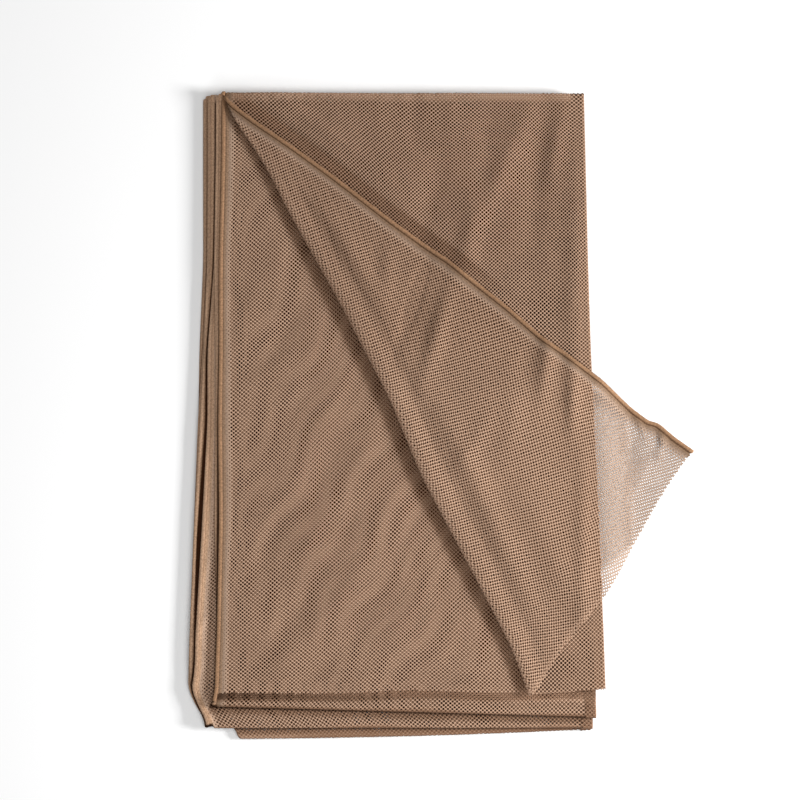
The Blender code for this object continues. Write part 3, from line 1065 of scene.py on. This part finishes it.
def put(tree, kind, **settings):
    """A new node with its settings."""
    node = tree.nodes.new(kind)
    for name, value in settings.items():
        setattr(node, name, value)
    return node


def feed(tree, sockets, values):
    """Gives sockets their numbers, or links them to other nodes' outputs."""
    for socket, value in zip(sockets, values):
        if isinstance(value, bpy.types.NodeSocket):
            tree.links.new(value, socket)
        else:
            socket.default_value = value


def maths(tree, operation, *values):
    """A sum on numbers."""
    node = put(tree, "ShaderNodeMath", operation=operation)
    feed(tree, node.inputs, values)
    return node.outputs["Value"]


def vector_maths(tree, operation, *values, output="Vector"):
    """A sum on places."""
    node = put(tree, "ShaderNodeVectorMath", operation=operation)
    feed(tree, node.inputs, values)
    return node.outputs[output]


def ramp(tree, value, start, end, low=0.0, high=1.0):
    """A soft step from one value to another."""
    node = put(tree, "ShaderNodeMapRange", interpolation_type="SMOOTHSTEP")
    feed(tree, node.inputs, (value, start, end, low, high))
    return node.outputs["Result"]


def mixed(tree, share, first, second):
    """A number between two, by a share."""
    node = put(tree, "ShaderNodeMix", data_type="FLOAT")
    feed(tree, (node.inputs[0], node.inputs[2], node.inputs[3]), (share, first, second))
    return node.outputs[0]


def noise(tree, place, scale, detail, roughness):
    """A value that wanders from place to place."""
    node = put(tree, "ShaderNodeTexNoise")
    feed(tree, [node.inputs["Vector"]], [place])
    node.inputs["Scale"].default_value = scale
    node.inputs["Detail"].default_value = detail
    node.inputs["Roughness"].default_value = roughness
    return node.outputs["Fac"]


def tinted(tree, colour, shade):
    """A colour made lighter or darker by a factor."""
    node = put(tree, "ShaderNodeVectorMath", operation="SCALE")
    feed(tree, [node.inputs[0], node.inputs["Scale"]], [colour, shade])
    return node.outputs["Vector"]


def multiplied(tree, share, colour, tint):
    """A colour multiplied by a tint, by a share."""
    node = put(tree, "ShaderNodeMix", data_type="RGBA", blend_type="MULTIPLY")
    feed(tree, (node.inputs[0], node.inputs[6], node.inputs[7]), (share, colour, tint))
    return node.outputs[2]


def new_group(name, inputs, outputs):
    """An empty group of nodes, and the nodes for what goes in and what comes out."""
    tree = bpy.data.node_groups.new(name, "ShaderNodeTree")
    for in_out, sockets in (("INPUT", inputs), ("OUTPUT", outputs)):
        for kind, titles in sockets:
            for title in titles:
                tree.interface.new_socket(title, in_out=in_out, socket_type=kind)
    return tree, put(tree, "NodeGroupInput"), put(tree, "NodeGroupOutput")


WHITE = (1.0, 1.0, 1.0, 1.0)
SHEEN_TINT = (1.0, 0.7, 0.5, 1.0)
SEAM_TINT = (1.0, 0.75, 0.55, 1.0)
BAND_TINT = (1.0, 0.93, 0.83, 1.0)
FUZZ = 0.3
BUMP_DISTANCE = 0.0002
BUMP_STRENGTH = 0.7
# Noises: scale, detail and roughness. Shades: from and to which value, and the shades there
FIBRES = (1400.0, 3.0, 0.6)
MOTTLES = (520.0, 2.0, 0.6)
MOTTLE_SHADES = (0.38, 0.62, 0.80, 1.14)
CLOUDS = (22.0, 2.0, 0.5)
CLOUD_SHADES = (0.25, 0.75, 0.95, 1.05)
# Rounding of the yarn beside a hole, in radii of the hole
ROUNDED = 0.5
# Ribs of the band, and the seam beside the hem with its stitches
RIB_LENGTH = 0.0009
RIB_SHADE = 0.06
RIBS_END = BAND + 0.0015
SEAM_PLACE = HEM_WIDTH + 0.0006
SEAM_REACH = (0.0003, 0.0010)
STITCH_LENGTH = 0.0024
STITCH_SHADES = (-0.6, 0.4, 0.75, 1.0)
# Roughness: how much the fibres change it, and its least. Heights: of fibres, ribs, stitches
ROUGHNESS = (0.16, 0.62)
HEIGHTS = (0.25, 0.12, -1.2)

YARN_INPUTS = (
    ("NodeSocketVector", ("Place",)),
    ("NodeSocketFloat", ("Nets above", "Band shade", "Seam shade", "Fuzz")),
    ("NodeSocketColor", ("Yarn", "Edge tint", "Hole tint")),
    ("NodeSocketColor", ("Veiled tint", "Bare tint", "Inside tint")),
)
YARN_OUTPUTS = (("NodeSocketColor", ("Colour",)), ("NodeSocketFloat", ("Roughness", "Height")))

YARNS = {
    # name: settings of its colour, the painted shade of its edges and of its painted holes,
    # shades of band and seam, gloss
    "knitted_yarn": ("yarn_colour", "painted_edge_shade", None, 0.44, 0.6, 0.1),
    "second_yarn": ("yarn_colour", "painted_edge_shade", None, 0.52, 0.2, 0.1),
    "inner_yarn": ("yarn_colour", "painted_edge_shade", "painted_hole_shade", 0.54, 0.6, 0.0),
    # Painted light: the band of the margins and turns is much lighter than on the top layers
    "margin_yarn": ("yarn_colour", "painted_edge_shade", None, 0.95, 0.1, 0.1),
    "hem_yarn": ("hem_colour", None, None, 1.0, 0.6, 0.15),
    # Painted light: the hem down the side of the stack has a lighter colour than on top
    "side_hem_yarn": ("lit_side_hem_colour", None, None, 1.0, 0.1, 0.15),
}


def yarn_group():
    """Knitted yarn: its fibres, the rounding beside each hole, the ribbed band and stitches,
    with painted shade and painted light.
    """
    name = "Knitted yarn"
    if name in bpy.data.node_groups:
        return bpy.data.node_groups[name]
    tree, given, made = new_group(name, YARN_INPUTS, YARN_OUTPUTS)
    given = given.outputs
    place, nets = given["Place"], given["Nets above"]
    # Distance from the nearest hole of the two sets of rows
    split = put(tree, "ShaderNodeSeparateXYZ")
    feed(tree, split.inputs, [place])
    across, along = split.outputs["X"], split.outputs["Y"]
    spot = put(tree, "ShaderNodeCombineXYZ")
    column = maths(tree, "DIVIDE", across, HOLES_ACROSS)
    row = maths(tree, "DIVIDE", along, HOLES_ALONG)
    feed(tree, spot.inputs, (column, row))
    to_holes = []
    for offset in (0.0, 0.5):
        moved = vector_maths(tree, "ADD", spot.outputs["Vector"], (offset, offset, 0.0))
        cell = vector_maths(tree, "WRAP", moved, (0.5, 0.5, 0.5), (-0.5, -0.5, -0.5))
        flat = vector_maths(tree, "MULTIPLY", cell, (HOLES_ACROSS, HOLES_ALONG, 0.0))
        to_holes.append(vector_maths(tree, "LENGTH", flat, output="Value"))
    away = maths(tree, "MINIMUM", *to_holes)
    grown = ramp(tree, across, BAND, BAND + BAND_FADE)
    edge = maths(tree, "MULTIPLY", grown, HOLE_RADIUS)
    past_edge = maths(tree, "SUBTRACT", away, edge)
    rounding = ramp(tree, past_edge, 0.0, ROUNDED * HOLE_RADIUS)
    in_hole = maths(tree, "LESS_THAN", past_edge, 0.0)

    # Fibres, ribs, mottling and the seam's stitches
    fibres = noise(tree, place, *FIBRES)
    cloud = noise(tree, place, *CLOUDS)
    ribs = maths(tree, "SINE", maths(tree, "MULTIPLY", along, 2.0 * math.pi / RIB_LENGTH))
    in_band = ramp(tree, across, BAND, RIBS_END, 1.0, 0.0)
    ribs = maths(tree, "MULTIPLY", ribs, in_band)
    mottle = ramp(tree, noise(tree, place, *MOTTLES), *MOTTLE_SHADES)
    mottle = mixed(tree, grown, mottle, 1.0)
    to_seam = maths(tree, "ABSOLUTE", maths(tree, "SUBTRACT", across, SEAM_PLACE))
    seam = ramp(tree, to_seam, *SEAM_REACH, 1.0, 0.0)
    stitch = maths(tree, "SINE", maths(tree, "MULTIPLY", along, 2.0 * math.pi / STITCH_LENGTH))
    stitches = maths(tree, "MULTIPLY", seam, ramp(tree, stitch, *STITCH_SHADES))

    # Shade, colour with painted shade and painted light, roughness and height
    centred = maths(tree, "SUBTRACT", fibres, 0.5)
    shade = maths(tree, "MULTIPLY_ADD", centred, given["Fuzz"], 1.0)
    shade = maths(tree, "MULTIPLY", shade, ramp(tree, cloud, *CLOUD_SHADES))
    shade = maths(tree, "MULTIPLY", shade, maths(tree, "MULTIPLY_ADD", ribs, RIB_SHADE, 1.0))
    shade = maths(tree, "MULTIPLY", shade, mottle)
    seamed = maths(tree, "MULTIPLY", stitches, given["Seam shade"])
    shade = maths(tree, "MULTIPLY", shade, maths(tree, "SUBTRACT", 1.0, seamed))
    band = mixed(tree, grown, given["Band shade"], 1.0)
    shade = maths(tree, "MULTIPLY", shade, band)
    colour = tinted(tree, given["Yarn"], shade)
    colour = multiplied(tree, seamed, colour, SEAM_TINT)
    colour = multiplied(tree, in_band, colour, BAND_TINT)
    # Painted shade where the yarn rounds away beside a hole
    at_edge = ramp(tree, rounding, 0.0, 1.0, 1.0, 0.0)
    colour = multiplied(tree, at_edge, colour, given["Edge tint"])
    # Painted holes, dark with painted shade
    colour = multiplied(tree, in_hole, colour, given["Hole tint"])
    # Painted shade under nets, and painted light over the bare floor
    veiled = ramp(tree, nets, 0.0, 1.0)
    hidden = ramp(tree, nets, 1.0, 2.0)
    bare = ramp(tree, nets, -1.0, 0.0, 1.0, 0.0)
    colour = multiplied(tree, bare, colour, given["Bare tint"])
    colour = multiplied(tree, veiled, colour, given["Veiled tint"])
    colour = multiplied(tree, hidden, colour, given["Inside tint"])
    roughness = maths(tree, "MULTIPLY_ADD", fibres, *ROUGHNESS)
    height = rounding
    for part, high in zip((fibres, ribs, stitches), HEIGHTS):
        height = maths(tree, "MULTIPLY_ADD", part, high, height)
    feed(tree, made.inputs, (colour, roughness, height))
    return tree


def yarn_material(name):
    """One of the materials of the table above."""
    if name in bpy.data.materials:
        return bpy.data.materials[name]
    values = bpy.context.scene.netting
    colour, painted_edge_shade, painted_hole_shade, band_shade, seam_shade, gloss = YARNS[name]

    def tint(setting):
        return (*getattr(values, setting), 1.0) if setting else WHITE

    material = bpy.data.materials.new(name)
    material.use_nodes = True
    tree = material.node_tree
    shader = tree.nodes["Principled BSDF"]
    shader.inputs["Specular IOR Level"].default_value = gloss
    shader.inputs["Specular Tint"].default_value = SHEEN_TINT
    place = put(tree, "ShaderNodeUVMap", uv_map="cloth")
    yarn = put(tree, "ShaderNodeGroup")
    yarn.node_tree = yarn_group()
    tree.links.new(place.outputs["UV"], yarn.inputs["Place"])
    depth = put(tree, "ShaderNodeAttribute", attribute_name="nets_above")
    tree.links.new(depth.outputs["Fac"], yarn.inputs["Nets above"])
    for title, value in (
        ("Yarn", tint(colour)),
        ("Edge tint", tint(painted_edge_shade)),
        ("Hole tint", tint(painted_hole_shade)),
        ("Veiled tint", tint("painted_veil_shade")),
        ("Bare tint", tint("painted_floor_light")),
        ("Inside tint", tint("painted_inside_shade")),
        ("Band shade", band_shade),
        ("Seam shade", seam_shade),
        ("Fuzz", FUZZ),
    ):
        yarn.inputs[title].default_value = value
    bump = put(tree, "ShaderNodeBump")
    bump.inputs["Distance"].default_value = BUMP_DISTANCE
    bump.inputs["Strength"].default_value = BUMP_STRENGTH
    for source, title, node, socket in (
        (yarn, "Colour", shader, "Base Color"),
        (yarn, "Roughness", shader, "Roughness"),
        (yarn, "Height", bump, "Height"),
        (bump, "Normal", shader, "Normal"),
    ):
        tree.links.new(source.outputs[title], node.inputs[socket])
    return material


# Sizes and colours


class NettingSettings(bpy.types.PropertyGroup):
    """Sizes and colours of the netting."""

    yarn_colour: bpy.props.FloatVectorProperty(
        name="Yarn colour",
        description="Colour of the knitted yarn",
        subtype="COLOR",
        size=3,
        min=0.0,
        max=1.0,
        default=(0.505, 0.345, 0.247),
    )
    hem_colour: bpy.props.FloatVectorProperty(
        name="Hem colour",
        description="Colour of the rolled hem",
        subtype="COLOR",
        size=3,
        min=0.0,
        max=1.0,
        default=(0.29, 0.178, 0.112),
    )
    # Painted light: the hem down the side of the stack is lighter than the hem on top
    lit_side_hem_colour: bpy.props.FloatVectorProperty(
        name="Lit side hem colour",
        description="Colour of the hem where it shows down the side of the stack",
        subtype="COLOR",
        size=3,
        min=0.0,
        max=1.0,
        default=(0.385, 0.262, 0.188),
    )
    # Painted shade: the yarn is darker and redder where it rounds away from the light beside a
    # hole
    painted_edge_shade: bpy.props.FloatVectorProperty(
        name="Edge tint",
        description="Tint of the yarn where it rounds away beside a hole",
        subtype="COLOR",
        size=3,
        min=0.0,
        max=1.0,
        default=(0.60, 0.51, 0.45),
    )
    # Painted shade of the yarn under one net: with these numbers it darkens the yarn.
    painted_veil_shade: bpy.props.FloatVectorProperty(
        name="Veiled tint",
        description="Tint of the yarn just under one net, which glows with light from above",
        size=3,
        min=0.0,
        max=2.5,
        default=(0.60, 0.55, 0.51),
    )
    # Painted light: the yarn over the bare pale floor is paler, as if the floor's light came
    # through
    painted_floor_light: bpy.props.FloatVectorProperty(
        name="Bare tint",
        description="Tint of the yarn where only the pale floor lies under it",
        subtype="COLOR",
        size=3,
        min=0.0,
        max=1.0,
        default=(0.87, 0.94, 1.0),
    )
    # Painted shade of the yarn under two nets or more, deep in the stack
    painted_inside_shade: bpy.props.FloatVectorProperty(
        name="Inside tint",
        description="Further tint of the yarn under two nets or more",
        subtype="COLOR",
        size=3,
        min=0.0,
        max=1.0,
        default=(0.10, 0.05, 0.024),
    )
    # The holes painted on the inner layers are dark with painted shade, as the depth under them
    painted_hole_shade: bpy.props.FloatVectorProperty(
        name="Hole tint",
        description="Tint of the holes painted on the layers inside the stack",
        subtype="COLOR",
        size=3,
        min=0.0,
        max=1.0,
        default=(0.1, 0.04, 0.014),
    )


class StageSettings(bpy.types.PropertyGroup):
    """Sizes and strengths of the floor, lights and camera."""

    floor_size: bpy.props.FloatProperty(
        name="Floor size",
        description="Length of each side of the floor",
        default=8.0,
        min=1.0,
        unit="LENGTH",
    )
    floor_colour: bpy.props.FloatVectorProperty(
        name="Floor colour",
        description="Colour of the floor",
        subtype="COLOR",
        size=3,
        min=0.0,
        max=1.0,
        default=(0.93, 0.93, 0.93),
    )
    main_light: bpy.props.FloatProperty(
        name="Main light", description="Strength of the main light", default=62.0, unit="POWER"
    )
    top_light: bpy.props.FloatProperty(
        name="Top light", description="Strength of the light above", default=46.0, unit="POWER"
    )
    front_light: bpy.props.FloatProperty(
        name="Front light", description="Strength of the near light", default=2.4, unit="POWER"
    )
    surroundings: bpy.props.FloatProperty(
        name="Surroundings", description="Brightness all round", default=0.19, min=0.0
    )
    camera_distance: bpy.props.FloatProperty(
        name="Camera distance",
        description="Height of the camera above the netting",
        default=2.383,
        min=0.5,
        unit="LENGTH",
    )


# Operators

# The full width with its tuck, and how far a region reaches past the cloth's sides and end
FULL = LAYER_WIDTH + TUCK
PAST_SIDE = 0.01
PAST_END = 0.02


def full_width(first_v, last_v):
    """A region of the flat cloth from side to side."""
    return -PAST_SIDE, FULL + PAST_SIDE, first_v, last_v


# Where the top two layers are split into pieces
TOP_SPLIT = -0.29
SECOND_SPLIT = 0.285

# The second layer's cut end: how far short of the fold it lies, how much it slants, how far
# the cloth under it reaches back, how much lower that cloth is, and where it comes up
SECOND_END = 0.0098
SECOND_SLANT = 0.0340
SECOND_LAP = 0.030
LAP_DROP = 0.0019
LAP_RISE = (0.004, 0.008)


def lap_drop(v):
    """How much lower the cloth lies under the second layer's cut end than in the layer."""
    return LAP_DROP * step_down(v, start_of("turn", 2) - LAP_RISE[0], LAP_RISE[1])


class NETTING_OT_top(bpy.types.Operator):
    """Add the top layer of net, with its corner turned back"""

    bl_idname = "netting.top"
    bl_label = "Top layer"

    def execute(self, context):
        hem = dress(add_hem("hem_top", -CORNER_LENGTH, 0.0), "hem_yarn")
        for name, first_v, last_v, extra in (
            ("net_top_low", -CORNER_LENGTH - PAST_END, TOP_SPLIT, []),
            ("net_top_high", TOP_SPLIT, 0.0, [hem]),
        ):
            piece = dress(add_net(name, [full_width(first_v, last_v)]), "knitted_yarn")
        return {"FINISHED"}


class NETTING_OT_second(bpy.types.Operator):
    """Add the second layer of net, with the turns at both of its ends"""

    bl_idname = "netting.second"
    bl_label = "Second layer"

    def execute(self, context):
        fold = start_of("turn", 2)
        end = start_of("layer", 3) + STRIP
        cut = fold - SECOND_END
        hem = dress(add_hem("hem_second", 0.0, fold), "hem_yarn")
        for name, first_v, last_v, extra, drop in (
            ("net_second_high", 0.0, SECOND_SPLIT, [hem], None),
            ("net_second_low", SECOND_SPLIT, cut, [], None),
            ("net_lap", cut - SECOND_LAP, end, [], lap_drop),
        ):
            region = [full_width(first_v, last_v)]
            ends = {"highest_v": cut, "slant": SECOND_SLANT} if name == "net_second_low" else {}
            cover = cut if name == "net_lap" else None
            piece = add_net(name, region, turned=True, drop=drop, cover=cover, **ends)
            dress(piece, "second_yarn")
        return {"FINISHED"}


def lower_stretches():
    """Stretches of the third to eighth layers: the turns, and the insides between them."""
    turns, insides = [], []
    place = start_of("layer", 3) + STRIP
    for layer in range(3, LAYERS):
        middle = start_of("turn", layer)
        after = start_of("layer", layer + 1)
        reach = STRIP if TURNS[layer - 1][0] < 0 else FAR_STRIP
        insides.append((place, middle - reach))
        turns.append((middle - reach, after + reach))
        place = after + reach
    insides.append((place, CLOTH_END))
    return turns, insides


class NETTING_OT_lower(bpy.types.Operator):
    """Add the third to eighth layers of net"""

    bl_idname = "netting.lower"
    bl_label = "Lower layers"

    def execute(self, context):
        turns, insides = lower_stretches()
        bends = add_net("net_turns", [full_width(*turn) for turn in turns])
        dress(bends, "margin_yarn")
        first_v = start_of("turn", 2)
        hem = dress(add_hem("hem_lower", first_v, CLOTH_END), "side_hem_yarn")
        margins = add_net("net_margins", [(-PAST_SIDE, MARGIN, *inside) for inside in insides])
        dress(margins, "margin_yarn")
        first_u = MARGIN - INNER_LAP
        u, v, faces = grid_pattern([(first_u, LAYER_WIDTH, *inside) for inside in insides])
        points = cloth_points(u, v)
        places = np.stack([u, (v + SKEW * u - lean(u)) * INNER_STRETCH], axis=1)
        above = nets_above(u, v, points)
        inner = add_mesh("net_inner", points, faces, places, above=above)
        dress(inner, "inner_yarn")
        return {"FINISHED"}


# Stage

LIGHTS = (
    # name, place, size, the point that it faces (straight down if None)
    ("main_light", (1.90, -0.02, 0.95), 0.55, (-0.02, 0.0, 0.0)),
    ("top_light", (0.1, 0.1, 3.2), 2.4, None),
    ("front_light", (0.2, -0.6, 0.8), 0.4, (0.0, 0.0, 0.0)),
)
FLOOR_Z = -0.0003
FLOOR_ROUGHNESS = 0.9
FLOOR_GLOSS = 0.1
# The camera looks straight down, and its distance is measured from this height.
CAMERA_PLACE = (-0.03978, 0.01438)
CAMERA_BASE = 0.016
LENS = 110.0
SENSOR = 36.0


def aim(item, target):
    """Turns a light towards a point."""
    away = np.array(item.location) - np.array(target)
    level = math.hypot(away[0], away[1])
    item.rotation_euler = (math.atan2(level, away[2]), 0.0, math.atan2(away[0], -away[1]))


class NETTING_OT_stage(bpy.types.Operator):
    """Add the floor, the lights and the camera"""

    bl_idname = "netting.stage"
    bl_label = "Floor, lights and camera"

    def execute(self, context):
        values = context.scene.netting_stage
        bpy.ops.object.select_all(action="DESELECT")
        bpy.ops.mesh.primitive_plane_add(size=values.floor_size, location=(0.0, 0.0, FLOOR_Z))
        floor = context.object
        floor.name = "floor"
        paper = bpy.data.materials.new("floor_paper")
        paper.use_nodes = True
        shader = paper.node_tree.nodes["Principled BSDF"]
        shader.inputs["Base Color"].default_value = (*values.floor_colour, 1.0)
        shader.inputs["Roughness"].default_value = FLOOR_ROUGHNESS
        shader.inputs["Specular IOR Level"].default_value = FLOOR_GLOSS
        floor.data.materials.append(paper)

        for name, place, size, target in LIGHTS:
            bpy.ops.object.light_add(type="AREA", location=place)
            light = context.object
            light.name = name
            light.data.shape = "SQUARE"
            light.data.size = size
            light.data.energy = getattr(values, name)
            if target:
                aim(light, target)

        world = bpy.data.worlds.new("studio")
        world.use_nodes = True
        surround = world.node_tree.nodes["Background"]
        surround.inputs["Color"].default_value = WHITE
        surround.inputs["Strength"].default_value = values.surroundings
        context.scene.world = world
        context.scene.view_settings.view_transform = "Standard"
        context.scene.view_settings.look = "None"

        height = CAMERA_BASE + values.camera_distance
        bpy.ops.object.camera_add(location=(*CAMERA_PLACE, height))
        camera = context.object
        camera.name = "camera"
        camera.rotation_euler = (0.0, 0.0, 0.0)
        camera.data.lens = LENS
        camera.data.sensor_width = SENSOR
        context.scene.camera = camera
        return {"FINISHED"}


class NETTING_PT_panel(bpy.types.Panel):
    """Panel of the netting's pieces, sizes and colours"""

    bl_label = "Netting"
    bl_idname = "NETTING_PT_panel"
    bl_space_type = "VIEW_3D"
    bl_region_type = "UI"
    bl_category = "Netting"

    def draw(self, context):
        layout = self.layout
        for group in (context.scene.netting, context.scene.netting_stage):
            box = layout.box()
            for name in group.bl_rna.properties.keys():
                if name not in ("rna_type", "name"):
                    box.prop(group, name)
        for operator in OPERATORS:
            layout.operator(operator.bl_idname)


OPERATORS = (NETTING_OT_top, NETTING_OT_second, NETTING_OT_lower, NETTING_OT_stage)
CLASSES = (NettingSettings, StageSettings, *OPERATORS, NETTING_PT_panel)


def register():
    for item in CLASSES:
        bpy.utils.register_class(item)
    bpy.types.Scene.netting = bpy.props.PointerProperty(type=NettingSettings)
    bpy.types.Scene.netting_stage = bpy.props.PointerProperty(type=StageSettings)


def unregister():
    del bpy.types.Scene.netting_stage
    del bpy.types.Scene.netting
    for item in reversed(CLASSES):
        bpy.utils.unregister_class(item)


def main():
    register()
    bpy.ops.object.select_all(action="DESELECT")
    bpy.ops.netting.top()
    bpy.ops.netting.second()
    bpy.ops.netting.lower()
    bpy.ops.netting.stage()
    bpy.ops.object.select_all(action="DESELECT")


if __name__ == "__main__":
    main()
